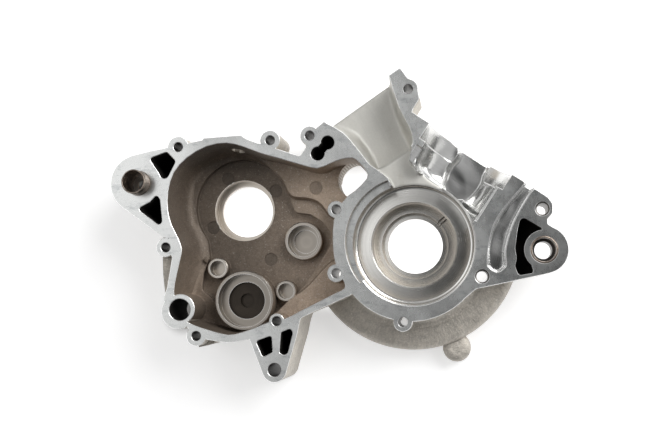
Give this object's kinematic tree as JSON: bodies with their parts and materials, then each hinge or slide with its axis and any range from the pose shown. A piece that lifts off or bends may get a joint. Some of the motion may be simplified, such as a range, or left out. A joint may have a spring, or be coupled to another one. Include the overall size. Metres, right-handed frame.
{
  "type": "engine crankcase",
  "caption": "Left crankcase half of a small two-stroke motocross engine, with crank pocket, open gearbox, cylinder mouth, intake duct and three mount lugs.",
  "frame": {"origin": "where the crankshaft axis meets the split face", "axes": "+Z out of the split face along the crankshaft axis, +X to the front mount lug, +Y to the cylinder side"},
  "size_m": [0.3355, 0.2282, 0.069],
  "materials": {
    "casting": "as cast, machined on the split face and in the bores",
    "bush_steel": "oiled brown steel with a bright rim"
  },
  "bodies": {
    "root": {"crankcase_half": "casting", "rear_dowel_bush": "bush_steel", "front_mount_bush": "bush_steel"}
  },
  "joints": []
}
